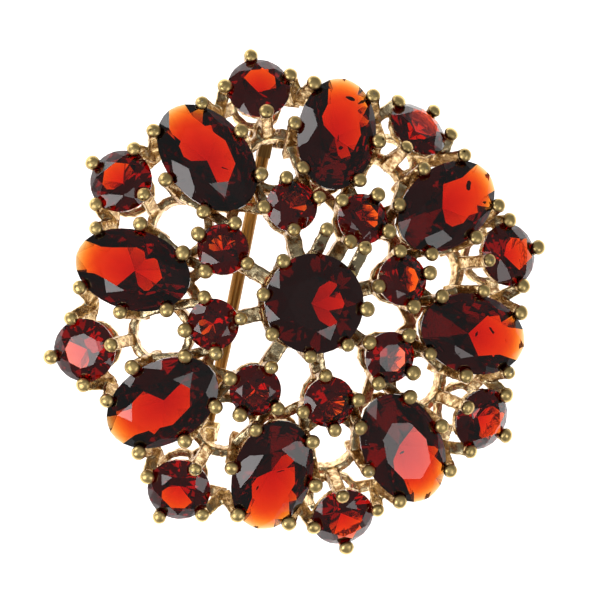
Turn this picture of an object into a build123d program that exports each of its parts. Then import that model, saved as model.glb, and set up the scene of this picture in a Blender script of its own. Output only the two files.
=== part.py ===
from build123d import *
from math import cos, hypot, radians, sin, tan
import copy
import os

# A domed cluster brooch of 25 faceted garnets in claw settings, lying on its back, in millimetres.
# The axis of the dome is Z and the gems face up. The lowest points, the filed feet, are at Z = 0.

# Sizes of the garnets
centre_gem_width = 6.1
inner_gem_width = 3.15
oval_gem_length = 7.25
oval_gem_width = 4.88
outer_gem_width = 3.85

# Proportions of the cut, as shares of a gem's width, and its facet corners, as shares of its radius
crown_share = 0.15
centre_pavilion_share = 0.405
inner_pavilion_share = 0.375
oval_pavilion_share = 0.355
outer_pavilion_share = 0.39
girdle_share = 0.035
table_share = 0.56
star_share = 0.79
lower_facet_share = 0.36

# Rings of gems: radius and height of the girdles
inner_ring_radius = 6.1
oval_ring_radius = 10.6
outer_ring_radius = 13.4
outer_girdle_height = 3.25
oval_girdle_height = 4.7
inner_girdle_height = 6.25
centre_girdle_height = 8.2

# Settings: how far the metal reaches below the girdle, and how wide its foot is against the gem
centre_basket_depth = 3.2
inner_basket_depth = 1.9
oval_basket_depth = 2.6
outer_basket_depth = 2.76
centre_foot_share = 0.88
inner_foot_share = 0.74
oval_foot_share = 0.8
outer_foot_share = 0.72
rim_drop_share = 0.105
rim_inset = 0.12
rim_wall = 0.3
rim_opening_share = 0.74
ring_wall = 0.42
ring_height = 0.45
ring_sides = 16

# Claws: flat posts with a round bead on top
bead_width = 0.86
bead_sides = 10
claw_width = 0.74
claw_thickness = 0.46
bent_claw_reach = 4.55
bent_claw_height = 0.35
flank_claw_lean = 1.1
flank_claw_spread = 0.35

# Clearance of a gem in its setting, and how many times as much there is below its point
gem_clearance = 0.03
point_clearance_times = 1.5

# Net of straps between the settings
gallery_ring_radius = 8.65
gallery_ring_height = 2.8
gallery_ring_tilt = 26.0
gallery_ring_bore = 3.15
gallery_ring_wall = 0.5
gallery_ring_depth = 0.8
gallery_ring_sides = 24
strap_width = 0.64
strap_thickness = 0.6
centre_strap_width = 0.9
centre_strap_thickness = 0.9
web_width = 0.62

# How far up a claw's post, as a share of it, the webs, the side rails and the gallery rings meet it
web_rise_share = 0.42
rail_rise_share = 0.3
ring_strap_rise_share = 0.9

# Knot between an oval and an outer gem, where the posts of one claw of each meet
knot_inset = 1.35
knot_height = 2.3

# Pin on the back: hinge, stem and catch
pin_line_height = 0.72
hinge_x = -1.62
hinge_y = 10.25
catch_x = -5.3
catch_y = -7.75
stem_width = 0.8
stem_tip_width = 0.22
stem_width_at_catch = 0.58
stem_past_catch = 1.0
stem_taper_length = 5.0
shank_length = 1.3
eye_width = 1.2
eye_thickness = 0.8
rivet_width = 0.5
rivet_clearance = 0.05
rivet_fit = 0.02
knuckle_thickness = 0.5
knuckle_web_height = 1.65
knuckle_gap = 0.07
rivet_proud = 0.12
catch_bore = 0.86
catch_wall = 0.27
catch_length = 1.15
catch_mouth_angle = 122.0

# Gems in each of the three rings, and the opening between them whose gallery ring carries the catch
ring_count = 8
catch_opening = 5

# Places of the gems, columns: azimuth in degrees, share of the ring's radius, outward tilt in degrees,
# turn of the gem about its own axis in degrees from the line that points away from the dome's axis
INNER_PLACES = [
    (100, 0.985, 12, 20),
    (57, 1.005, 12, 5),
    (14, 0.98, 12, 31),
    (-33, 0.98, 12, 12),
    (-78, 1.0, 12, 40),
    (-122, 1.015, 12, 8),
    (-168, 0.985, 12, 26),
    (148, 1.02, 12, 17),
]
OVAL_PLACES = [
    (79, 0.995, 18, -1),
    (34, 1.004, 16.5, 0),
    (-10, 1.003, 17, -2),
    (-55.2, 1.012, 17, -4),
    (-100.7, 1.0, 22, -1),
    (-145.5, 1.0, 20, -3),
    (169, 1.015, 20, -5),
    (124, 1.01, 16, 3),
]
OUTER_PLACES = [
    (101, 1.0, 24, 15),
    (55.5, 0.967, 45, 34),
    (13, 0.995, 24, 5),
    (-32, 0.995, 30, 22),
    (-78.5, 0.993, 31, 38),
    (-123.5, 1.013, 24, 10),
    (-168, 1.015, 24, 28),
    (146, 0.995, 24, 3),
]

# Sizes of the ovals, in the same order, as shares of their length and width
OVAL_SIZES = [1.0, 1.0, 1.0, 1.025, 1.0, 1.025, 1.0, 1.04]

# Claws about a gem's axis, columns: angle from the line that points away from the dome's axis, distance of
# the bead's middle outside the girdle, height of it above the girdle
INNER_CLAWS = [(0, 0.17, 0.22), (84, 0.17, 0.22), (180, 0.17, 0.22), (-84, 0.17, 0.22)]
OUTER_CLAWS = [(0, 0.17, 0.22), (78, 0.17, 0.22), (180, -0.1, 0.42), (-80, 0.17, 0.22)]
OVAL_CLAWS = [
    (43, 0.3, 0.22),
    (90, 0.26, 0.22),
    (137, 0.17, 0.22),
    (-137, 0.17, 0.22),
    (-90, 0.17, 0.22),
    (-42, 0.25, 0.22),
]
CENTRE_CLAWS = [
    (127, 0.17, 0.22),
    (170, 0.17, 0.22),
    (215, 0.17, 0.22),
    (265, 0.17, 0.22),
    (-51, 0.17, 0.22),
    (-6, 0.17, 0.22),
]

# Claws that were bent away from their kind's place, with the same columns, under the kind, the number of
# the gem and the number of the claw
ODD_CLAWS = {
    ("inner", 0, 2): (172, -0.05, 0.22),
    ("oval", 1, 4): (-84, 0.18, 0.22),
    ("oval", 3, 5): (-42, 0.18, 0.22),
    ("oval", 4, 0): (42, 0.14, 0.22),
    ("oval", 4, 5): (-37, 0.0, 0.3),
    ("oval", 5, 4): (-84, 0.4, 0.22),
    ("oval", 6, 4): (-86, 0.38, 0.22),
    ("oval", 7, 0): (33, 0.34, 0.22),
    ("oval", 7, 1): (84, 0.46, 0.22),
    ("oval", 7, 2): (130, 0.5, 0.22),
    ("oval", 7, 3): (-138, 0.34, 0.22),
    ("outer", 1, 0): (-10, 0.18, 0.22),
    ("outer", 1, 1): (68, 0.14, 0.22),
    ("outer", 1, 2): (175, 0.34, 0.05),
    ("outer", 1, 3): (-60, 0.32, 0.22),
    ("outer", 4, 1): (94, 0.22, 0.22),
    ("outer", 4, 3): (-88, 0.0, 0.3),
}

# Claws of the centre gem that are bent away from it, columns: angle of the knee, angle of the bead
BENT_CLAWS = [(38, 48), (86, 81)]

# Claws tied to each other, columns: claw of an oval, which neighbour (0 before it, 1 after it), its claw
INNER_WEBS = [(2, 0, 3), (3, 1, 1)]
KNOTS = [(0, 0, 3), (5, 1, 1)]
KNOTTED_CLAWS = {"oval": (0, 5), "outer": (1, 3)}

# Rails along an oval's sides, columns: flank claw, claw nearer the dome's middle
SIDE_RAILS = [(1, 2), (4, 3)]
inward_claw = 2
flank_claws = (1, 4)

stand = (Align.CENTER, Align.CENTER, Align.MIN)


def around(radius, angles, height):
    """Points on a level circle."""
    return [(radius * cos(radians(a)), radius * sin(radians(a)), height) for a in angles]


def cut_gem(length, width, depth_share, spare=0.0):
    """A garnet cut as a brilliant of table, star, bezel, girdle and pavilion facets, girdle at Z = 0.

    The girdle facets are flat up to the gem's round outline, so the girdle is scalloped. An oval is the
    round cut stretched. spare makes it that much larger all round, for its seat.
    """
    crown = crown_share * width + spare
    pavilion = depth_share * width + point_clearance_times * spare
    half_girdle = girdle_share * width / 2
    main = [45 * k for k in range(8)]
    between = [22.5 + 45 * k for k in range(8)]
    scallops = [11.25 + 22.5 * k for k in range(16)]
    half_step = cos(radians(22.5))
    bulge = 1 / cos(radians(11.25)) - 1
    star_run = (star_share * half_step - table_share) / (1 - table_share)
    star_height = crown - star_run * (crown - half_girdle)
    lower_height = -pavilion + lower_facet_share * half_step * (pavilion - half_girdle)
    upper_scallop = half_girdle - bulge / (1 - star_share) * (star_height - half_girdle)
    lower_scallop = -half_girdle - bulge / (1 - lower_facet_share) * (lower_height + half_girdle)
    corners = around(table_share, main, crown)
    corners += around(star_share, between, star_height)
    corners += around(1, main + between, half_girdle)
    corners += around(1, main + between, -half_girdle)
    corners += around(1, scallops, upper_scallop) + around(1, scallops, lower_scallop)
    corners += around(lower_facet_share, between, lower_height)
    corners.append((0, 0, -pavilion))
    half_length = length / 2 + spare
    half_width = width / 2 + spare
    return ConvexPolyhedron([(half_length * x, half_width * y, z) for x, y, z in corners])


def flat_bar(start, end, width, thickness):
    """A flat bar from one point to another, its width level and across it."""
    start, end = Vector(*start), Vector(*end)
    run = end - start
    across = Vector(0, 0, 1).cross(run)
    return Plane(origin=start, x_dir=across, z_dir=run) * Box(width, thickness, run.length, align=stand)


def bead(width):
    """The rounded end of a claw, in flat faces, flat below."""
    turns = [360 * k / bead_sides for k in range(bead_sides)]
    radius = width / 2
    corners = [(0, 0, radius)]
    for rise in (-45, 0, 45):
        corners += around(radius * cos(radians(rise)), turns, radius * sin(radians(rise)))
    return ConvexPolyhedron(corners)


def oval_outline(half_length, half_width, sides):
    """A flat face with straight sides whose corners lie on a circle or an oval."""
    turns = [radians(360 * k / sides) for k in range(sides)]
    return Polygon(*[(half_length * cos(t), half_width * sin(t)) for t in turns], align=None)


def oval_ring(half_length, half_width, wall, height, level, sides):
    """A ring in flat faces, round or oval, centred on the Z axis at a level."""
    outline = oval_outline(half_length, half_width, sides)
    outline -= oval_outline(half_length - wall, half_width - wall, sides)
    return Pos(0, 0, level) * extrude(outline, height / 2, both=True)


def girdle_point(half_length, half_width, angle, out):
    """A point outside a gem's outline: angle is the outline's own parameter, out is the distance."""
    x, y = half_length * cos(radians(angle)), half_width * sin(radians(angle))
    nx, ny = x / half_length**2, y / half_width**2
    size = hypot(nx, ny)
    return x + out * nx / size, y + out * ny / size


claw_bead = bead(bead_width)


def post(foot, tip):
    """The flat post of a claw."""
    return flat_bar(foot, tip, claw_width, claw_thickness)


def claw(foot, tip):
    """A claw: a flat post from the basket's foot, and the bead that holds the gem's edge."""
    return [post(foot, tip), Pos(*tip) * claw_bead]


# Kinds of setting, columns: gem's length and width, depth below the girdle, foot's share of the gem, claws
SETTINGS = {
    "centre": (centre_gem_width, centre_gem_width, centre_basket_depth, centre_foot_share, CENTRE_CLAWS),
    "inner": (inner_gem_width, inner_gem_width, inner_basket_depth, inner_foot_share, INNER_CLAWS),
    "oval": (oval_gem_length, oval_gem_width, oval_basket_depth, oval_foot_share, OVAL_CLAWS),
    "outer": (outer_gem_width, outer_gem_width, outer_basket_depth, outer_foot_share, OUTER_CLAWS),
}
OPEN_RIMS = ("oval", "outer")


def claw_ends(kind, gem, number):
    """Foot and tip of one claw about its gem's own axis. The flank claws of an oval lean and spread."""
    length, width, depth, foot_share, claws = SETTINGS[kind]
    angle, out, rise = ODD_CLAWS.get((kind, gem, number), claws[number])
    tip_x, tip_y = girdle_point(length / 2, width / 2, angle, out)
    foot_x = foot_share * length / 2 * cos(radians(angle))
    foot_y = foot_share * width / 2 * sin(radians(angle))
    if kind == "oval" and number in flank_claws:
        foot_x -= flank_claw_lean
        foot_y += flank_claw_spread * sin(radians(angle))
    return (foot_x, foot_y, -depth), (tip_x, tip_y, rise)


def rim_level(width):
    """Height of the rim under a gem, from its girdle."""
    return -rim_drop_share * width


def rim(kind):
    """The rim under a gem. Under the gems of the two outer rings it is open towards the outside."""
    length, width = SETTINGS[kind][:2]
    half_length, half_width = length / 2 - rim_inset, width / 2 - rim_inset
    level = rim_level(width)
    ring = oval_ring(half_length, half_width, rim_wall, ring_height, level, ring_sides)
    if kind not in OPEN_RIMS:
        return ring
    opening = Box(length, 2 * width, width, align=(Align.MIN, Align.CENTER, Align.CENTER))
    return ring - Pos(rim_opening_share * half_length, 0, level) * opening


def setting(kind, gem):
    """A setting about a gem's own axis: a rim under the gem, a foot ring and the claws.

    Claws whose posts meet in a knot with a neighbour's have only their beads here.
    """
    length, width, depth, foot_share, claws = SETTINGS[kind]
    foot_length = (foot_share * length + ring_wall) / 2
    foot_width = (foot_share * width + ring_wall) / 2
    parts = [rim(kind), oval_ring(foot_length, foot_width, ring_wall, ring_height, -depth, ring_sides)]
    for number in range(len(claws)):
        foot, tip = claw_ends(kind, gem, number)
        if number in KNOTTED_CLAWS.get(kind, ()):
            parts.append(Pos(*tip) * claw_bead)
        else:
            parts += claw(foot, tip)
    return parts


def bent_claws():
    """The two claws of the centre gem that are bent away from it, about the gem's axis."""
    parts = []
    foot_radius = centre_foot_share * centre_gem_width / 2
    knee_radius = centre_gem_width / 2
    for knee_angle, bead_angle in BENT_CLAWS:
        foot = around(foot_radius, [knee_angle], -centre_basket_depth)[0]
        knee = around(knee_radius, [knee_angle], rim_level(centre_gem_width))[0]
        tip = around(bent_claw_reach, [bead_angle], bent_claw_height)[0]
        parts.append(post(foot, knee))
        parts.append(Pos(*knee) * bead(claw_width))
        parts += claw(knee, tip)
    return parts


def gem_plane(ring_radius, height, azimuth, share, tilt):
    """The plane of a gem's girdle: X points away from the dome's axis, Z along the gem's axis."""
    a, t = radians(azimuth), radians(tilt)
    origin = (ring_radius * share * cos(a), ring_radius * share * sin(a), height)
    x_dir = (cos(t) * cos(a), cos(t) * sin(a), -sin(t))
    z_dir = (sin(t) * cos(a), sin(t) * sin(a), cos(t))
    return Plane(origin=origin, x_dir=x_dir, z_dir=z_dir)


def at(plane, x, y, z):
    """A point of a gem's plane, in the brooch's frame."""
    return tuple(plane.from_local_coords(Vector(x, y, z)))


def step(start, end, share):
    """The point at a share of the way between two points."""
    return tuple(a + share * (b - a) for a, b in zip(start, end))


def gallery_plane(number):
    """The middle of the opening between four gems: one inner, two ovals and one outer."""
    azimuth = INNER_PLACES[number][0]
    return gem_plane(gallery_ring_radius, gallery_ring_height, azimuth, 1.0, gallery_ring_tilt)


def gallery_ring():
    """A short tube round the opening between four gems: it ties their settings together."""
    half = gallery_ring_bore / 2 + gallery_ring_wall
    return oval_ring(half, half, gallery_ring_wall, gallery_ring_depth, 0, gallery_ring_sides)


def hinge_plane():
    """The pin's frame: origin on the hinge's axis, X along the stem to the catch, Y along the rivet."""
    run = Vector(catch_x - hinge_x, catch_y - hinge_y, 0)
    return Plane(origin=(hinge_x, hinge_y, pin_line_height), x_dir=run, z_dir=(0, 0, 1))


catch_distance = hypot(catch_x - hinge_x, catch_y - hinge_y)
catch_radius = catch_bore / 2 + catch_wall
along_y = Rot(90, 0, 0)
along_x = Rot(0, 90, 0)


def hinge_knuckles():
    """Two knuckles for the rivet, each carried by a web that is soldered to the frame above."""
    parts = []
    for side in (-1, 1):
        y = side * (eye_thickness / 2 + knuckle_gap + knuckle_thickness / 2)
        knuckle = Cylinder(eye_width / 2, knuckle_thickness)
        web = Pos(0, 0, knuckle_web_height / 2) * Box(eye_width, knuckle_thickness, knuckle_web_height)
        parts.append(Pos(0, y, 0) * (along_y * knuckle))
        parts.append(Pos(0, y, 0) * web)
    return parts


def pin_stem():
    """The pin: an eye round the rivet, a square shank, a straight stem and a tapered point."""
    taper_start = catch_distance - stem_taper_length
    point_end = catch_distance + stem_past_catch
    eye = along_y * Cylinder(eye_width / 2, eye_thickness)
    shank = Box(shank_length, eye_thickness, stem_width, align=(Align.MIN, Align.CENTER, Align.CENTER))
    straight = along_x * Cylinder(stem_width / 2, taper_start - shank_length, align=stand)
    taper = along_x * Cone(stem_width / 2, stem_width_at_catch / 2, stem_taper_length, align=stand)
    point = along_x * Cone(stem_width_at_catch / 2, stem_tip_width / 2, stem_past_catch, align=stand)
    stem = eye + shank + Pos(shank_length, 0, 0) * straight
    stem += Pos(taper_start, 0, 0) * taper + Pos(catch_distance, 0, 0) * point
    hole = along_y * Cylinder(rivet_width / 2 + rivet_clearance, eye_thickness * 2)
    return hinge_plane() * (stem - hole)


def hinge_rivet(spare=0.0):
    """The rivet through both knuckles and the pin's eye. With spare, its hole in the knuckles."""
    length = eye_thickness + 2 * (knuckle_gap + knuckle_thickness + rivet_proud)
    return hinge_plane() * (along_y * Cylinder(rivet_width / 2 + spare, length))


def catch():
    """A C-shaped catch round the stem, its mouth towards the cloth."""
    tube = Cylinder(catch_radius, catch_length) - Cylinder(catch_bore / 2, catch_length)
    far = 2 * catch_radius
    spread = far * tan(radians(catch_mouth_angle / 2))
    wedge = Polyline((0, 0), (far, -spread), (far, spread), close=True)
    mouth = extrude(make_face(wedge), catch_length, both=True)
    hook = Rot(0, 90, 0) * (tube - mouth)
    return hinge_plane() * (Pos(catch_distance, 0, 0) * hook)


def place_all(places, ring_radius, height):
    """The girdle planes of one ring of gems."""
    return [gem_plane(ring_radius, height, azimuth, share, tilt) for azimuth, share, tilt, _ in places]


inner_planes = place_all(INNER_PLACES, inner_ring_radius, inner_girdle_height)
oval_planes = place_all(OVAL_PLACES, oval_ring_radius, oval_girdle_height)
outer_planes = place_all(OUTER_PLACES, outer_ring_radius, outer_girdle_height)
centre_plane = gem_plane(0, centre_girdle_height, 0, 1, 0)


def all_gems(spare=0.0):
    """Every gem by name, in its place. With spare, the room that its setting leaves for it."""
    round_centre = cut_gem(centre_gem_width, centre_gem_width, centre_pavilion_share, spare)
    round_inner = cut_gem(inner_gem_width, inner_gem_width, inner_pavilion_share, spare)
    round_outer = cut_gem(outer_gem_width, outer_gem_width, outer_pavilion_share, spare)
    gems = {"centre_stone": centre_plane * round_centre}
    for k in range(ring_count):
        inner_turn, oval_turn, outer_turn = INNER_PLACES[k][3], OVAL_PLACES[k][3], OUTER_PLACES[k][3]
        length, width = oval_gem_length * OVAL_SIZES[k], oval_gem_width * OVAL_SIZES[k]
        long_oval = cut_gem(length, width, oval_pavilion_share, spare)
        gems[f"inner_stone_{k + 1}"] = inner_planes[k] * (Rot(0, 0, inner_turn) * round_inner)
        gems[f"oval_stone_{k + 1}"] = oval_planes[k] * (Rot(0, 0, oval_turn) * long_oval)
        gems[f"outer_stone_{k + 1}"] = outer_planes[k] * (Rot(0, 0, outer_turn) * round_outer)
    return gems


def claw_point(kind, gem, number, share):
    """A point on a claw's post, at a share of the way from its foot to its tip, in the brooch's frame."""
    planes = {"inner": inner_planes, "oval": oval_planes, "outer": outer_planes}[kind]
    turn = OVAL_PLACES[gem][3] if kind == "oval" else 0
    foot, tip = claw_ends(kind, gem, number)
    place = Vector(*step(foot, tip, share)).rotate(Axis.Z, turn)
    return at(planes[gem], place.X, place.Y, place.Z)


def straps(number):
    """The straps round one opening: from the gallery ring to the inner and the outer setting."""
    inner_plane, outer_plane = inner_planes[number], outer_planes[number]
    inner_foot = inner_foot_share * inner_gem_width / 2
    outer_foot = outer_foot_share * outer_gem_width / 2
    reach = (gallery_ring_bore + gallery_ring_wall) / 2
    near = at(gallery_plane(number), -reach, 0, 0)
    far = at(gallery_plane(number), reach, 0, 0)
    inner_outside = at(inner_plane, inner_foot, 0, -inner_basket_depth)
    inner_inside = at(inner_plane, -inner_foot, 0, -inner_basket_depth)
    outer_inside = at(outer_plane, -outer_foot, 0, -outer_basket_depth)
    centre_edge = around(centre_foot_share * centre_gem_width / 2, [INNER_PLACES[number][0]],
                         centre_girdle_height - centre_basket_depth)[0]
    raised = claw_point("outer", number, inward_claw, ring_strap_rise_share)
    return [
        flat_bar(inner_outside, near, strap_width, strap_thickness),
        flat_bar(inner_inside, centre_edge, centre_strap_width, centre_strap_thickness),
        flat_bar(far, outer_inside, strap_width, strap_thickness),
        post(far, raised),
    ]


def knot(one, other):
    """The place where the posts of two neighbouring claws meet: between their tips, inwards and lower."""
    middle = Vector(*step(one, other, 0.5))
    inwards = Vector(middle.X, middle.Y, 0).normalized() * knot_inset
    return middle.X - inwards.X, middle.Y - inwards.Y, knot_height


def webs(number):
    """The metal that ties one oval to the two inner and two outer gems beside it."""
    neighbours = (number, (number + 1) % ring_count)
    oval_foot = oval_foot_share * oval_gem_length / 2
    end = at(oval_planes[number], -oval_foot, 0, -oval_basket_depth)
    parts = []
    for neighbour in neighbours:
        middle = at(inner_planes[neighbour], 0, 0, -inner_basket_depth)
        parts.append(flat_bar(middle, end, strap_width, strap_thickness))
    for oval_claw, side, inner_claw in INNER_WEBS:
        start = claw_point("oval", number, oval_claw, web_rise_share)
        stop = claw_point("inner", neighbours[side], inner_claw, web_rise_share)
        parts.append(flat_bar(start, stop, web_width, strap_thickness))
    for flank_claw, inner_claw in SIDE_RAILS:
        start = claw_point("oval", number, flank_claw, rail_rise_share)
        stop = claw_point("oval", number, inner_claw, web_rise_share)
        parts.append(flat_bar(start, stop, strap_width, strap_thickness))
    for oval_claw, side, outer_claw in KNOTS:
        oval_tip = claw_point("oval", number, oval_claw, 1)
        outer_tip = claw_point("outer", neighbours[side], outer_claw, 1)
        foot = knot(oval_tip, outer_tip)
        outer_foot = claw_point("outer", neighbours[side], outer_claw, 0)
        parts += [post(foot, oval_tip), post(foot, outer_tip), post(outer_foot, foot)]
    return parts


def frame_pieces():
    """All the metal of the frame, piece by piece, before it is soldered into one."""
    pieces = [centre_plane * piece for piece in setting("centre", 0) + bent_claws()]
    ring = gallery_ring()
    for k in range(ring_count):
        oval_turn = Rot(0, 0, OVAL_PLACES[k][3])
        pieces += [inner_planes[k] * piece for piece in setting("inner", k)]
        pieces += [outer_planes[k] * piece for piece in setting("outer", k)]
        pieces += [oval_planes[k] * (oval_turn * piece) for piece in setting("oval", k)]
        pieces.append(gallery_plane(k) * ring)
        pieces += straps(k)
        pieces += webs(k)
    return pieces


def catch_strap():
    """The strap from the catch to the nearest gallery ring."""
    start = at(hinge_plane(), catch_distance, 0, catch_radius - catch_wall / 2)
    end = at(gallery_plane(catch_opening), (gallery_ring_bore + gallery_ring_wall) / 2, 0, 0)
    return flat_bar(start, end, strap_width, strap_thickness)


def gold_frame():
    """The gold frame in one piece: settings, net, hinge and catch, with a seat filed for every gem."""
    pieces = frame_pieces()
    pieces += [hinge_plane() * piece for piece in hinge_knuckles()]
    pieces += [catch(), catch_strap()]
    frame = pieces[0].fuse(*pieces[1:])
    reach = 2 * outer_ring_radius
    filed_off = Pos(0, 0, -reach / 2) * Box(2 * reach, 2 * reach, reach)
    return frame.cut(filed_off, hinge_rivet(rivet_fit), *all_gems(gem_clearance).values())


nodes = {"gold_frame": gold_frame(), **all_gems(), "pin_stem": pin_stem(), "hinge_rivet": hinge_rivet()}

# The origin is moved under the middle of the brooch's outline
middle = Compound(children=[copy.copy(solid) for solid in nodes.values()]).bounding_box().center()
centring = Pos(-middle.X, -middle.Y, 0)
os.makedirs("parts", exist_ok=True)
for name, solid in nodes.items():
    export_step(centring * solid, f"parts/{name}.step", write_pcurves=False)

hinge = (centring * hinge_plane().location).position
along = hinge_plane().x_dir
print("solids in the frame", len(nodes["gold_frame"].solids()), "faces", len(nodes["gold_frame"].faces()))
print("hinge", hinge, "stem runs along", along, "catch at", catch_distance)
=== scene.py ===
import math
import random

import bmesh
import bpy
import numpy as np
from mathutils import Matrix, Vector
from mathutils.bvhtree import BVHTree


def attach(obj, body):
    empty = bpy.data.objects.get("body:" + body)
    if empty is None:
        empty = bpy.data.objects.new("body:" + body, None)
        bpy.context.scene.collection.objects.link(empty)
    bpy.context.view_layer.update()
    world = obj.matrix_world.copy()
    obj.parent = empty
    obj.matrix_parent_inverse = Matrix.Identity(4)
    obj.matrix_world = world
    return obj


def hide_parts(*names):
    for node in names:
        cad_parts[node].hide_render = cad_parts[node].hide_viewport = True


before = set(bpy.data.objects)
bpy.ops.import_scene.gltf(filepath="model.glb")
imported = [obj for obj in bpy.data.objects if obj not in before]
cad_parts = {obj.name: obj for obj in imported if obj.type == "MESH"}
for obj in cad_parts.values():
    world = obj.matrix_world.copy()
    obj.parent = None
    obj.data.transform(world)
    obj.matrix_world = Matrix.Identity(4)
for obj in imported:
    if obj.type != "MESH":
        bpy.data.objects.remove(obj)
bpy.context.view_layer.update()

MM = 0.001

# The garnets: 25 clear dark red crystals cut as brilliants, one large round, sixteen small rounds and
# eight ovals, each held by four to six claws. Thin or tilted parts let white light through as orange, and
# long ways through a stone stay nearly black, so the colour comes from depth and not from paint.
GARNET_INDEX = 1.76
GARNET_TINT = (1.0, 0.97, 0.97, 1.0)
GARNET_DEPTH_COLOUR = (0.933, 0.585, 0.0, 1.0)
GARNET_DEPTH_DENSITY = 6000.0
HANDLING_MARKS_PER_METRE = 2600.0
HANDLING_MARKS_ROUGHNESS = 0.12


def new_material(name):
    """A material with an empty node tree but for its output."""
    material = bpy.data.materials.new(name)
    material.use_nodes = True
    tree = material.node_tree
    tree.nodes.clear()
    out = tree.nodes.new("ShaderNodeOutputMaterial")
    return material, tree, out


def add(tree, kind, **values):
    """A node, with its sockets set by name and its settings by attribute."""
    node = tree.nodes.new(kind)
    for key, value in values.items():
        if key in node.inputs:
            node.inputs[key].default_value = value
        else:
            setattr(node, key, value)
    return node


def map_range(tree, value, low, high, to_low, to_high):
    """A value moved from one range to another, kept within it."""
    node = tree.nodes.new("ShaderNodeMapRange")
    for key, number in (("From Min", low), ("From Max", high), ("To Min", to_low), ("To Max", to_high)):
        node.inputs[key].default_value = number
    tree.links.new(value, node.inputs["Value"])
    return node.outputs["Result"]


def object_point(tree):
    """Object coordinates in metres."""
    return tree.nodes.new("ShaderNodeTexCoord").outputs["Object"]


def garnet_material():
    """Polished garnet: clear, with its red in the depth, and faint handling marks on the facets."""
    material, tree, out = new_material("polished_garnet")
    shader = add(tree, "ShaderNodeBsdfPrincipled")
    shader.inputs["Base Color"].default_value = GARNET_TINT
    shader.inputs["Transmission Weight"].default_value = 1.0
    shader.inputs["IOR"].default_value = GARNET_INDEX
    marks = add(tree, "ShaderNodeTexNoise", Scale=HANDLING_MARKS_PER_METRE, Detail=3.0, Roughness=0.6)
    tree.links.new(object_point(tree), marks.inputs["Vector"])
    roughness = map_range(tree, marks.outputs["Fac"], 0.55, 0.85, 0.0, HANDLING_MARKS_ROUGHNESS)
    tree.links.new(roughness, shader.inputs["Roughness"])
    depth = add(tree, "ShaderNodeVolumeAbsorption")
    depth.inputs["Color"].default_value = GARNET_DEPTH_COLOUR
    depth.inputs["Density"].default_value = GARNET_DEPTH_DENSITY
    tree.links.new(shader.outputs["BSDF"], out.inputs["Surface"])
    tree.links.new(depth.outputs["Volume"], out.inputs["Volume"])
    return material


polished_garnet = garnet_material()
for name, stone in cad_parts.items():
    if name.endswith("_stone") or "_stone_" in name:
        stone.data.materials.clear()
        stone.data.materials.append(polished_garnet)

# Flaws in the garnets: small dark flakes and healed cracks that lay in the crystals before they were
# cut. They show where the light comes through, most of all in the two ovals at the top.
FLAKE_THICKNESS = 0.02 * MM
FLAKE_CORNERS = 9
FLAKE_EDGE_SPREAD = 0.35
FLAKE_SEED = 11
FLAKE_BLACK = (0.01, 0.003, 0.002, 1.0)
FLAKE_BROWN = (0.12, 0.03, 0.015, 1.0)
FLAKE_SPECKS_PER_METRE = 9000.0
FLAKE_ROUGHNESS = 0.5
# Columns: middle in the brooch's frame (x, y, z), length, width, all in millimetres, turn in degrees
FLAKES = [
    (3.05, 12.35, 4.35, 0.62, 0.26, -15),
    (3.75, 12.20, 4.30, 0.60, 0.20, 35),
    (2.15, 9.85, 5.00, 0.50, 0.10, 80),
    (2.30, 9.30, 5.10, 0.30, 0.22, 20),
    (10.35, 7.00, 4.35, 0.55, 0.30, 85),
    (11.35, 6.10, 4.30, 0.30, 0.16, 10),
    (10.40, 8.00, 4.45, 0.42, 0.10, 50),
    (10.70, -1.95, 4.75, 0.36, 0.18, 70),
    (11.70, -1.70, 4.45, 0.60, 0.16, -50),
    (-1.35, -10.15, 4.75, 0.46, 0.08, 15),
    (-2.70, -11.20, 4.35, 0.40, 0.10, 65),
    (-4.80, 8.05, 5.10, 0.50, 0.07, -20),
    (6.10, -9.10, 4.70, 0.26, 0.14, 30),
]


def flake_material():
    """Dark mineral with a mottled, half dull surface."""
    material, tree, out = new_material("dark_flake")
    shader = add(tree, "ShaderNodeBsdfPrincipled")
    speck = add(tree, "ShaderNodeTexNoise", Scale=FLAKE_SPECKS_PER_METRE, Detail=3.0)
    tree.links.new(object_point(tree), speck.inputs["Vector"])
    tint = tree.nodes.new("ShaderNodeValToRGB")
    tint.color_ramp.elements[0].color = FLAKE_BLACK
    tint.color_ramp.elements[1].color = FLAKE_BROWN
    tree.links.new(speck.outputs["Fac"], tint.inputs["Fac"])
    tree.links.new(tint.outputs["Color"], shader.inputs["Base Color"])
    shader.inputs["Roughness"].default_value = FLAKE_ROUGHNESS
    tree.links.new(shader.outputs["BSDF"], out.inputs["Surface"])
    return material


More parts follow.
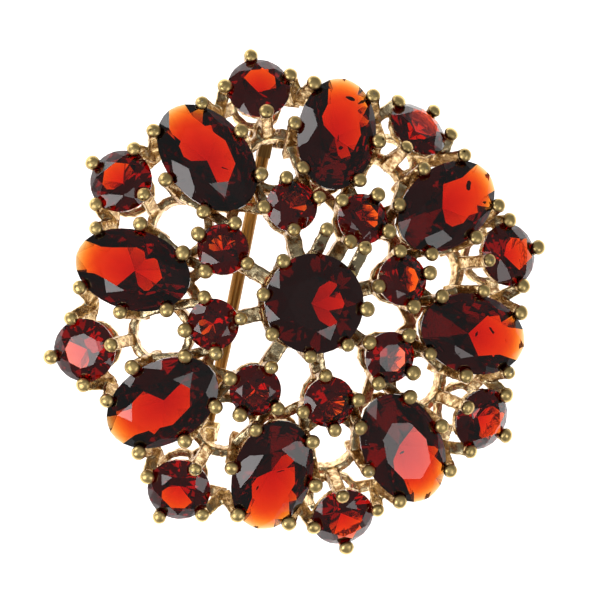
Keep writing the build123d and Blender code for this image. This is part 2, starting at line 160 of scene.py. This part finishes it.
def flakes():
    """All the flakes as one piece of thin closed plates with ragged edges."""
    chance = random.Random(FLAKE_SEED)
    shape = bmesh.new()
    for x, y, z, length, width, turn in FLAKES:
        middle = Vector((x, y, z)) * MM
        spin = Matrix.Rotation(math.radians(turn), 3, "Z")
        rings = []
        reaches = [1 + chance.uniform(-FLAKE_EDGE_SPREAD, FLAKE_EDGE_SPREAD) for _ in range(FLAKE_CORNERS)]
        for level in (FLAKE_THICKNESS / 2, -FLAKE_THICKNESS / 2):
            ring = []
            for k, reach in enumerate(reaches):
                angle = 2 * math.pi * k / FLAKE_CORNERS
                corner = Vector((math.cos(angle) * length, math.sin(angle) * width, 0)) * reach * MM / 2
                ring.append(shape.verts.new(middle + spin @ corner + Vector((0, 0, level))))
            rings.append(ring)
        shape.faces.new(rings[0])
        shape.faces.new(list(reversed(rings[1])))
        for k in range(FLAKE_CORNERS):
            after = (k + 1) % FLAKE_CORNERS
            shape.faces.new((rings[0][k], rings[1][k], rings[1][after], rings[0][after]))
    mesh = bpy.data.meshes.new("garnet_flaws")
    shape.to_mesh(mesh)
    shape.free()
    piece = bpy.data.objects.new("garnet_flaws", mesh)
    bpy.context.scene.collection.objects.link(piece)
    mesh.materials.append(flake_material())
    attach(piece, "brooch")


flakes()

# The frame: settings, claws and net, cast in 9 carat gold and soldered into one, then filed and
# polished where a hand can reach. The casting left soft fillets and a grain, and dirt and dull cast
# skin stayed in the hollows and on the walls. The dark brown there is also painted shade: it follows
# how little open sky each spot sees and how steep it stands.
FRAME_VOXEL = 0.06 * MM
FRAME_SOFTENING = 3
LUMP_WIDTH = 0.45 * MM
LUMP_HEIGHT = 0.13 * MM
LUMP_DETAIL = 2
FRAME_TRIANGLES = 190000
MERGE_DISTANCE = 0.0001 * MM
OPENNESS_RAYS = 12
OPENNESS_START = 0.05 * MM
OPENNESS_REACH = 4 * MM
# Walls keep only part of their value, and the dull brown below is partly cast skin and partly painted shade
# in the hollows and on the walls.
WALL_WEAR_AND_SHADE_SHARE = 0.3
WEAR_AND_SHADE_SMOOTHING = 2
GOLD = (0.95, 0.78, 0.47, 1.0)
DULL_SHADED_GOLD = (0.28, 0.13, 0.036, 1.0)
SKIN_PATCHES_PER_METRE = 2700.0
SKIN_PATCH_SHIFT = 0.38
SKIN_AND_SHADE_GONE_RANGE = (0.12, 0.66)
DULL_ROUGHNESS = 0.3
WORN_ROUGHNESS = 0.1
GRAIN_PER_METRE = 4300.0
GRAIN_DEPTH = 0.035 * MM
GRAIN_STRENGTH = 0.7


def cast_gold_material():
    """Cast gold: polished where a cloth reached, brown, dull and rough grained in the hollows and on the
    walls, the brown partly cast skin and partly painted shade.
    """
    material, tree, out = new_material("cast_gold")
    shader = add(tree, "ShaderNodeBsdfPrincipled")
    shader.inputs["Metallic"].default_value = 1.0
    point = object_point(tree)
    worn_and_lit = add(tree, "ShaderNodeAttribute", attribute_name="worn_and_lit")
    patches = add(tree, "ShaderNodeTexNoise", Scale=SKIN_PATCHES_PER_METRE, Detail=4.0, Roughness=0.65)
    tree.links.new(point, patches.inputs["Vector"])
    shift = map_range(tree, patches.outputs["Fac"], 0.3, 0.7, -SKIN_PATCH_SHIFT, SKIN_PATCH_SHIFT)
    patchy = add(tree, "ShaderNodeMath", operation="ADD")
    tree.links.new(worn_and_lit.outputs["Fac"], patchy.inputs[0])
    tree.links.new(shift, patchy.inputs[1])
    # Painted shade and dull skin: low values give the dark brown, rough gold of the hollows and walls.
    share = map_range(tree, patchy.outputs["Value"], *SKIN_AND_SHADE_GONE_RANGE, 0.0, 1.0)
    colour = add(tree, "ShaderNodeMix", data_type="RGBA")
    colour.inputs[6].default_value = DULL_SHADED_GOLD
    colour.inputs[7].default_value = GOLD
    tree.links.new(share, colour.inputs["Factor"])
    tree.links.new(colour.outputs[2], shader.inputs["Base Color"])
    roughness = map_range(tree, share, 0.0, 1.0, DULL_ROUGHNESS, WORN_ROUGHNESS)
    tree.links.new(roughness, shader.inputs["Roughness"])
    grain = add(tree, "ShaderNodeTexNoise", Scale=GRAIN_PER_METRE, Detail=4.0, Roughness=0.7)
    tree.links.new(point, grain.inputs["Vector"])
    bump = add(tree, "ShaderNodeBump", Strength=GRAIN_STRENGTH, Distance=GRAIN_DEPTH)
    tree.links.new(grain.outputs["Fac"], bump.inputs["Height"])
    tree.links.new(bump.outputs["Normal"], shader.inputs["Normal"])
    tree.links.new(shader.outputs["BSDF"], out.inputs["Surface"])
    return material


def plain_copy(source, name):
    """A loose copy of a CAD node's mesh with its doubles merged, as a new object."""
    mesh = source.data.copy()
    shape = bmesh.new()
    shape.from_mesh(mesh)
    bmesh.ops.remove_doubles(shape, verts=shape.verts, dist=MERGE_DISTANCE)
    shape.to_mesh(mesh)
    shape.free()
    piece = bpy.data.objects.new(name, mesh)
    bpy.context.scene.collection.objects.link(piece)
    return piece


def settle(piece):
    """Turns a piece's modifiers into plain mesh."""
    depsgraph = bpy.context.evaluated_depsgraph_get()
    mesh = bpy.data.meshes.new_from_object(piece.evaluated_get(depsgraph))
    piece.modifiers.clear()
    piece.data = mesh
    for polygon in mesh.polygons:
        polygon.use_smooth = True
    return piece


def ray_fan(count):
    """Directions spread over the half sphere about +Z, closer together near the pole."""
    fan = []
    golden_angle = math.pi * (3 - math.sqrt(5))
    for k in range(count):
        height = math.sqrt(1 - (k + 0.5) / count)
        run = math.sqrt(1 - height * height)
        turn = k * golden_angle
        fan.append(Vector((run * math.cos(turn), run * math.sin(turn), height)))
    return fan


def mark_worn_and_lit(piece):
    """Writes a point attribute: near 1 on open, upward faces where a cloth would rub the metal and the light
    falls freely, near 0 deep in a hollow or on a wall, for dull cast skin and painted shade.
    """
    mesh = piece.data
    tree = BVHTree.FromPolygons([v.co for v in mesh.vertices], [tuple(p.vertices) for p in mesh.polygons])
    fan = ray_fan(OPENNESS_RAYS)
    up = Vector((0, 0, 1))
    values = np.empty(len(mesh.vertices))
    for vertex in mesh.vertices:
        normal = vertex.normal
        turn = up.rotation_difference(normal).to_matrix()
        start = vertex.co + normal * OPENNESS_START
        # Painted shade: the fewer rays get out and the steeper the spot, the darker the gold is painted.
        free = sum(1 for ray in fan if tree.ray_cast(start, turn @ ray, OPENNESS_REACH)[0] is None)
        slope = WALL_WEAR_AND_SHADE_SHARE + (1 - WALL_WEAR_AND_SHADE_SHARE) * abs(normal.z)
        values[vertex.index] = free / OPENNESS_RAYS * slope
    ends = np.empty(2 * len(mesh.edges), dtype=np.int64)
    mesh.edges.foreach_get("vertices", ends)
    first, second = ends[0::2], ends[1::2]
    for _ in range(WEAR_AND_SHADE_SMOOTHING):
        total = values.copy()
        weight = np.ones(len(values))
        np.add.at(total, first, values[second])
        np.add.at(total, second, values[first])
        np.add.at(weight, first, 1)
        np.add.at(weight, second, 1)
        values = total / weight
    attribute = mesh.attributes.new("worn_and_lit", "FLOAT", "POINT")
    attribute.data.foreach_set("value", values.astype(np.float32))


def cast_frame(cast_gold):
    """The frame as it left the mould: the CAD frame remeshed, its joints run together and softened."""
    piece = plain_copy(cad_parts["gold_frame"], "cast_frame")
    remesh = piece.modifiers.new("cast", "REMESH")
    remesh.mode = "VOXEL"
    remesh.voxel_size = FRAME_VOXEL
    soften = piece.modifiers.new("soften", "SMOOTH")
    soften.factor = 0.5
    soften.iterations = FRAME_SOFTENING
    lumps = bpy.data.textures.new("casting_lumps", "CLOUDS")
    lumps.noise_scale = LUMP_WIDTH
    lumps.noise_depth = LUMP_DETAIL
    uneven = piece.modifiers.new("uneven", "DISPLACE")
    uneven.texture = lumps
    uneven.texture_coords = "LOCAL"
    uneven.strength = LUMP_HEIGHT
    uneven.mid_level = 0.5
    settle(piece)
    thin = piece.modifiers.new("thin", "DECIMATE")
    thin.ratio = min(1.0, FRAME_TRIANGLES / (2 * len(piece.data.polygons)))
    settle(piece)
    mark_worn_and_lit(piece)
    piece.data.materials.clear()
    piece.data.materials.append(cast_gold)
    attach(piece, "brooch")
    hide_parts("gold_frame")


cast_frame(cast_gold_material())

# The claws' beads: the gold end of each claw, pushed over the garnet's edge and rounded with a hollow
# tool, about 0.86 mm wide. They are the most rubbed and smoothest spots of the metal.
BEAD_FACETS = 10
FACET_NORMAL_SPREAD = 0.02
FACET_TILT_SPREAD = 0.03
BEAD_RIM_SHARE = 0.765
BEAD_FLATNESS = 0.72
BEAD_LIFT_SHARE = 0.24
BEAD_UNEVENNESS = 0.07 * MM
BEAD_LUMPS_PER_METRE = 1700.0
BEAD_MEAN_SIZE = 1.04
BEAD_SIZE_SPREAD = 0.07
BEAD_SEED = 7
BEAD_SEGMENTS = 26
BEAD_ROWS = 16
BEAD_GOLD = (1.0, 0.73, 0.3, 1.0)
# Painted shade: the brown below darkens each bead from its middle down towards its foot.
BEAD_SHADE = (0.12, 0.07, 0.03, 1.0)
SHADE_RISE_RANGE = (0.1, 0.62)
# Painted reflection: small dark dots scattered over the beads stand in for the camera seen in them.
REFLECTION_DOTS_PER_METRE = 1150.0
REFLECTION_DOT_EDGE_RANGE = (0.06, 0.12)
RUB_MARKS_PER_METRE = 2600.0
BEAD_ROUGHNESS_RANGE = (0.3, 0.42)
RUB_DEPTH = 0.02 * MM
RUB_STRENGTH = 0.35


def bead_places():
    """Middle, axis and radius of every bead: on the CAD frame its top is where ten small facets meet."""
    shape = bmesh.new()
    shape.from_mesh(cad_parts["gold_frame"].data)
    bmesh.ops.remove_doubles(shape, verts=shape.verts, dist=MERGE_DISTANCE)
    places = []
    for vertex in shape.verts:
        if len(vertex.link_faces) < BEAD_FACETS:
            continue
        normals = []
        for face in vertex.link_faces:
            if not any((face.normal - known).length < FACET_NORMAL_SPREAD for known in normals):
                normals.append(face.normal.copy())
        axis = sum(normals, Vector()).normalized()
        tilts = [normal.angle(axis) for normal in normals]
        if len(normals) != BEAD_FACETS or max(tilts) - min(tilts) > FACET_TILT_SPREAD:
            continue
        rim = [edge.calc_length() for edge in vertex.link_edges]
        radius = sorted(rim)[len(rim) // 2] / BEAD_RIM_SHARE
        places.append((vertex.co - axis * radius, axis, radius))
    shape.free()
    return places


def bead_gold_material():
    """Bright gold, softly polished, darkened from the middle of each bead down towards its foot as painted
    shade, with small dark dots as a painted reflection of the camera.
    """
    material, tree, out = new_material("bead_gold")
    shader = add(tree, "ShaderNodeBsdfPrincipled")
    shader.inputs["Metallic"].default_value = 1.0
    point = object_point(tree)
    # Small dark dots: a painted reflection of the camera.
    reflection_dots = add(tree, "ShaderNodeTexVoronoi", Scale=REFLECTION_DOTS_PER_METRE)
    tree.links.new(point, reflection_dots.inputs["Vector"])
    clear = map_range(tree, reflection_dots.outputs["Distance"], *REFLECTION_DOT_EDGE_RANGE, 0.0, 1.0)
    # Painted shade: the lower a spot sits on its bead, the nearer its colour comes to the dark brown.
    rise = add(tree, "ShaderNodeAttribute", attribute_name="rise")
    unshaded = map_range(tree, rise.outputs["Fac"], *SHADE_RISE_RANGE, 0.0, 1.0)
    share = add(tree, "ShaderNodeMath", operation="MULTIPLY")
    tree.links.new(clear, share.inputs[0])
    tree.links.new(unshaded, share.inputs[1])
    colour = add(tree, "ShaderNodeMix", data_type="RGBA")
    colour.inputs[6].default_value = BEAD_SHADE
    colour.inputs[7].default_value = BEAD_GOLD
    tree.links.new(share.outputs["Value"], colour.inputs["Factor"])
    tree.links.new(colour.outputs[2], shader.inputs["Base Color"])
    rub = add(tree, "ShaderNodeTexNoise", Scale=RUB_MARKS_PER_METRE, Detail=3.0)
    tree.links.new(point, rub.inputs["Vector"])
    roughness = map_range(tree, rub.outputs["Fac"], 0.3, 0.7, *BEAD_ROUGHNESS_RANGE)
    tree.links.new(roughness, shader.inputs["Roughness"])
    bump = add(tree, "ShaderNodeBump", Strength=RUB_STRENGTH, Distance=RUB_DEPTH)
    tree.links.new(rub.outputs["Fac"], bump.inputs["Height"])
    tree.links.new(bump.outputs["Normal"], shader.inputs["Normal"])
    tree.links.new(shader.outputs["BSDF"], out.inputs["Surface"])
    return material


def bead_nodes():
    """The node tree that sets one uneven rounded bead on each point."""
    tree = bpy.data.node_groups.new("claw_beads", "GeometryNodeTree")
    sockets = {}
    for name, kind in (("Geometry", "NodeSocketGeometry"), ("Size spread", "NodeSocketFloat"),
                       ("Unevenness", "NodeSocketFloat"), ("Seed", "NodeSocketInt"),
                       ("Material", "NodeSocketMaterial")):
        sockets[name] = tree.interface.new_socket(name, in_out="INPUT", socket_type=kind).identifier
    tree.interface.new_socket("Geometry", in_out="OUTPUT", socket_type="NodeSocketGeometry")
    source = tree.nodes.new("NodeGroupInput")
    result = tree.nodes.new("NodeGroupOutput")
    ball = add(tree, "GeometryNodeMeshUVSphere", Segments=BEAD_SEGMENTS, Rings=BEAD_ROWS, Radius=1.0)
    smooth = add(tree, "GeometryNodeSetShadeSmooth")
    spot = add(tree, "GeometryNodeInputPosition")
    spot_parts = add(tree, "ShaderNodeSeparateXYZ")
    mark = add(tree, "GeometryNodeStoreNamedAttribute", data_type="FLOAT", domain="POINT", Name="rise")
    axis = add(tree, "GeometryNodeInputNamedAttribute", data_type="FLOAT_VECTOR", Name="axis")
    radius = add(tree, "GeometryNodeInputNamedAttribute", data_type="FLOAT", Name="radius")
    turn = add(tree, "FunctionNodeAlignRotationToVector", axis="Z")
    low = add(tree, "ShaderNodeMath", operation="SUBTRACT")
    high = add(tree, "ShaderNodeMath", operation="ADD")
    low.inputs[0].default_value = BEAD_MEAN_SIZE
    high.inputs[0].default_value = BEAD_MEAN_SIZE
    spread = add(tree, "FunctionNodeRandomValue", data_type="FLOAT")
    size = add(tree, "ShaderNodeVectorMath", operation="SCALE")
    size.inputs[0].default_value = (1.0, 1.0, BEAD_FLATNESS)
    radius_share = add(tree, "ShaderNodeMath", operation="MULTIPLY")
    place = add(tree, "GeometryNodeInstanceOnPoints")
    real = add(tree, "GeometryNodeRealizeInstances")
    lumps = add(tree, "ShaderNodeTexNoise", Scale=BEAD_LUMPS_PER_METRE, Detail=1.0)
    centred = add(tree, "ShaderNodeMath", operation="SUBTRACT")
    centred.inputs[1].default_value = 0.5
    amount = add(tree, "ShaderNodeMath", operation="MULTIPLY")
    outward = add(tree, "ShaderNodeVectorMath", operation="SCALE")
    normal = add(tree, "GeometryNodeInputNormal")
    shift = add(tree, "GeometryNodeSetPosition")
    paint = add(tree, "GeometryNodeSetMaterial")
    link = tree.links.new
    link(spot.outputs["Position"], spot_parts.inputs["Vector"])
    link(ball.outputs["Mesh"], mark.inputs["Geometry"])
    link(spot_parts.outputs["Z"], mark.inputs["Value"])
    link(mark.outputs["Geometry"], smooth.inputs["Geometry"])
    link(axis.outputs["Attribute"], turn.inputs["Vector"])
    link(source.outputs["Size spread"], low.inputs[1])
    link(source.outputs["Size spread"], high.inputs[1])
    link(low.outputs["Value"], spread.inputs[2])
    link(high.outputs["Value"], spread.inputs[3])
    link(source.outputs["Seed"], spread.inputs["Seed"])
    link(radius.outputs["Attribute"], radius_share.inputs[0])
    link(spread.outputs[1], radius_share.inputs[1])
    link(radius_share.outputs["Value"], size.inputs["Scale"])
    link(source.outputs["Geometry"], place.inputs["Points"])
    link(smooth.outputs["Geometry"], place.inputs["Instance"])
    link(turn.outputs["Rotation"], place.inputs["Rotation"])
    link(size.outputs["Vector"], place.inputs["Scale"])
    link(place.outputs["Instances"], real.inputs["Geometry"])
    link(lumps.outputs["Fac"], centred.inputs[0])
    link(centred.outputs["Value"], amount.inputs[0])
    link(source.outputs["Unevenness"], amount.inputs[1])
    link(normal.outputs["Normal"], outward.inputs[0])
    link(amount.outputs["Value"], outward.inputs["Scale"])
    link(real.outputs["Geometry"], shift.inputs["Geometry"])
    link(outward.outputs["Vector"], shift.inputs["Offset"])
    link(shift.outputs["Geometry"], paint.inputs["Geometry"])
    link(source.outputs["Material"], paint.inputs["Material"])
    link(paint.outputs["Geometry"], result.inputs["Geometry"])
    return tree, sockets


def claw_beads():
    """All the beads of the claws as one plain piece."""
    places = bead_places()
    mesh = bpy.data.meshes.new("claw_beads")
    mesh.from_pydata([middle + axis * radius * BEAD_LIFT_SHARE for middle, axis, radius in places], [], [])
    axes = mesh.attributes.new("axis", "FLOAT_VECTOR", "POINT")
    axes.data.foreach_set("vector", [number for middle, axis, radius in places for number in axis])
    radii = mesh.attributes.new("radius", "FLOAT", "POINT")
    radii.data.foreach_set("value", [radius for middle, axis, radius in places])
    piece = bpy.data.objects.new("claw_beads", mesh)
    bpy.context.scene.collection.objects.link(piece)
    tree, sockets = bead_nodes()
    modifier = piece.modifiers.new("beads", "NODES")
    modifier.node_group = tree
    modifier[sockets["Size spread"]] = BEAD_SIZE_SPREAD
    modifier[sockets["Unevenness"]] = BEAD_UNEVENNESS
    modifier[sockets["Seed"]] = BEAD_SEED
    modifier[sockets["Material"]] = bead_gold_material()
    settle(piece)
    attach(piece, "brooch")


claw_beads()

# The pin: a hard drawn gold wire with an eye, turned on a rivet between two knuckles.
# Drawing left fine lines along the stem, and it has dulled to a brownish gold.
STEM_DIRECTION = math.radians(-101.55)
PIN_ROUGHNESS = 0.36
STREAKS_PER_METRE = 6500.0
STREAK_STRETCH = 0.04
STREAK_DEPTH = 0.015 * MM
STREAK_STRENGTH = 0.5
WIRE_BROWN = (0.16, 0.07, 0.02, 1.0)
WIRE_BROWN_UP_TO = 0.35
WIRE_GOLD = (0.5, 0.28, 0.09, 1.0)
WIRE_GOLD_FROM = 0.68


def mapped(tree, point, **values):
    """A point moved by a mapping: values are its Rotation or its Scale."""
    mapping = tree.nodes.new("ShaderNodeMapping")
    for key, value in values.items():
        mapping.inputs[key].default_value = value
    tree.links.new(point, mapping.inputs["Vector"])
    return mapping.outputs["Vector"]


def drawn_gold_material():
    """Drawn wire: dull brown gold with fine streaks along the stem."""
    material, tree, out = new_material("drawn_gold")
    shader = add(tree, "ShaderNodeBsdfPrincipled")
    shader.inputs["Metallic"].default_value = 1.0
    shader.inputs["Roughness"].default_value = PIN_ROUGHNESS
    along_stem = mapped(tree, object_point(tree), Rotation=(0, 0, -STEM_DIRECTION))
    point = mapped(tree, along_stem, Scale=(STREAK_STRETCH, 1, 1))
    streaks = add(tree, "ShaderNodeTexNoise", Scale=STREAKS_PER_METRE, Detail=3.0, Roughness=0.6)
    tree.links.new(point, streaks.inputs["Vector"])
    colour = tree.nodes.new("ShaderNodeValToRGB")
    colour.color_ramp.elements[0].position = WIRE_BROWN_UP_TO
    colour.color_ramp.elements[0].color = WIRE_BROWN
    colour.color_ramp.elements[1].position = WIRE_GOLD_FROM
    colour.color_ramp.elements[1].color = WIRE_GOLD
    tree.links.new(streaks.outputs["Fac"], colour.inputs["Fac"])
    tree.links.new(colour.outputs["Color"], shader.inputs["Base Color"])
    bump = add(tree, "ShaderNodeBump", Strength=STREAK_STRENGTH, Distance=STREAK_DEPTH)
    tree.links.new(streaks.outputs["Fac"], bump.inputs["Height"])
    tree.links.new(bump.outputs["Normal"], shader.inputs["Normal"])
    tree.links.new(shader.outputs["BSDF"], out.inputs["Surface"])
    return material


drawn_gold = drawn_gold_material()
for name in ("pin_stem", "hinge_rivet"):
    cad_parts[name].data.materials.clear()
    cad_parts[name].data.materials.append(drawn_gold)

# The stage: a softly glowing white sheet as product photographs of small jewels are taken on,
# brightest under the jewel, with a dim studio round it, three soft windows and a small light overhead.
FLOOR_GLOW = 1.3
FLOOR_BRIGHT_RADIUS = 18 * MM
FLOOR_DIM_RADIUS = 40 * MM
FLOOR_WIDTH = 1.2
FLOOR_DROP = 0.02 * MM
FLOOR_COLOUR = (0.9, 0.9, 0.9, 1.0)
FLOOR_ROUGHNESS = 0.8
STUDIO_ZENITH = 0.18
STUDIO_HORIZON = 0.14
STUDIO_ZENITH_EDGE = 0.72
# Columns: name, azimuth and angle from the zenith in degrees, distance, width and height in metres, luminance
LIGHTS = [
    ("window_left", 205, 52, 0.3, 0.14, 0.16, 2.8),
    ("window_right", 322, 42, 0.3, 0.14, 0.14, 1.5),
    ("window_back", 140, 74, 0.3, 0.12, 0.12, 2.4),
    ("overhead", 159, 8.5, 0.3, 0.075, 0.075, 1.2),
]


def glow_floor():
    """A white sheet that glows round the jewel and fades to plain paper."""
    bpy.ops.mesh.primitive_plane_add(size=FLOOR_WIDTH, location=(0, 0, -FLOOR_DROP))
    floor = bpy.context.object
    floor.name = "pale_floor"
    material, tree, out = new_material("pale_floor")
    shader = add(tree, "ShaderNodeBsdfPrincipled")
    shader.inputs["Base Color"].default_value = FLOOR_COLOUR
    shader.inputs["Roughness"].default_value = FLOOR_ROUGHNESS
    shader.inputs["Emission Color"].default_value = (1.0, 1.0, 1.0, 1.0)
    distance = add(tree, "ShaderNodeVectorMath", operation="LENGTH")
    tree.links.new(object_point(tree), distance.inputs[0])
    glow = map_range(tree, distance.outputs["Value"], FLOOR_BRIGHT_RADIUS, FLOOR_DIM_RADIUS, FLOOR_GLOW, 0.0)
    tree.links.new(glow, shader.inputs["Emission Strength"])
    tree.links.new(shader.outputs["BSDF"], out.inputs["Surface"])
    floor.data.materials.append(material)


def soft_light(name, azimuth, from_zenith, distance, width, height, brightness):
    """A soft rectangular light that faces the jewel. Brightness is its luminance."""
    light = bpy.data.lights.new(name, "AREA")
    light.shape = "RECTANGLE"
    light.size = width
    light.size_y = height
    light.energy = brightness * math.pi * width * height
    holder = bpy.data.objects.new(name, light)
    around, down = math.radians(azimuth), math.radians(from_zenith)
    away = Vector((math.sin(down) * math.cos(around), math.sin(down) * math.sin(around), math.cos(down)))
    holder.location = away * distance
    holder.rotation_euler = (-away).to_track_quat("-Z", "Y").to_euler()
    bpy.context.scene.collection.objects.link(holder)


def studio_world():
    """A dim grey room, a little brighter overhead."""
    world = bpy.data.worlds.new("studio")
    world.use_nodes = True
    tree = world.node_tree
    tree.nodes.clear()
    out = tree.nodes.new("ShaderNodeOutputWorld")
    background = tree.nodes.new("ShaderNodeBackground")
    place = tree.nodes.new("ShaderNodeTexCoord")
    split = tree.nodes.new("ShaderNodeSeparateXYZ")
    ramp = tree.nodes.new("ShaderNodeValToRGB")
    ramp.color_ramp.elements[0].position = STUDIO_ZENITH_EDGE
    ramp.color_ramp.elements[0].color = (STUDIO_HORIZON, STUDIO_HORIZON, STUDIO_HORIZON, 1)
    ramp.color_ramp.elements[1].position = 1.0
    ramp.color_ramp.elements[1].color = (STUDIO_ZENITH, STUDIO_ZENITH, STUDIO_ZENITH, 1)
    tree.links.new(place.outputs["Generated"], split.inputs["Vector"])
    tree.links.new(split.outputs["Z"], ramp.inputs["Fac"])
    tree.links.new(ramp.outputs["Color"], background.inputs["Color"])
    tree.links.new(background.outputs["Background"], out.inputs["Surface"])
    bpy.context.scene.world = world


glow_floor()
studio_world()
for light in LIGHTS:
    soft_light(*light)

# The camera looks down at the front, leaning a little from the left, through a long lens. Light may pass
# through many facets and off many walls of gold before it reaches it.
PHOTO_WIDTH = 600
PIXELS_PER_MM = 16.4
CAMERA_LEAN = math.radians(10)
CAMERA_LENS = 500.0
CAMERA_SENSOR = 36.0
CAMERA_NEAR = 0.005
CAMERA_FAR = 5.0
CAMERA_TARGET = Vector((-0.057, 0.128, 4.5)) * MM
ALL_BOUNCES = 24
CLEAR_BOUNCES = 20
GLOSSY_BOUNCES = 8


def photo_camera():
    """The camera at the photo's viewing angle and scale."""
    camera = bpy.data.cameras.new("camera")
    camera.lens = CAMERA_LENS
    camera.sensor_width = CAMERA_SENSOR
    camera.clip_start = CAMERA_NEAR
    camera.clip_end = CAMERA_FAR
    seen_width = PHOTO_WIDTH / PIXELS_PER_MM * MM
    distance = seen_width * CAMERA_LENS / CAMERA_SENSOR
    away = Vector((-math.sin(CAMERA_LEAN), 0, math.cos(CAMERA_LEAN)))
    right = Vector((math.cos(CAMERA_LEAN), 0, math.sin(CAMERA_LEAN)))
    up = Vector((0, 1, 0))
    turn = Matrix((right, up, away)).transposed().to_4x4()
    holder = bpy.data.objects.new("camera", camera)
    holder.matrix_world = Matrix.Translation(CAMERA_TARGET + away * distance) @ turn
    bpy.context.scene.collection.objects.link(holder)
    bpy.context.scene.camera = holder


photo_camera()
scene = bpy.context.scene
scene.view_settings.view_transform = "Standard"
scene.cycles.max_bounces = ALL_BOUNCES
scene.cycles.transmission_bounces = CLEAR_BOUNCES
scene.cycles.glossy_bounces = GLOSSY_BOUNCES
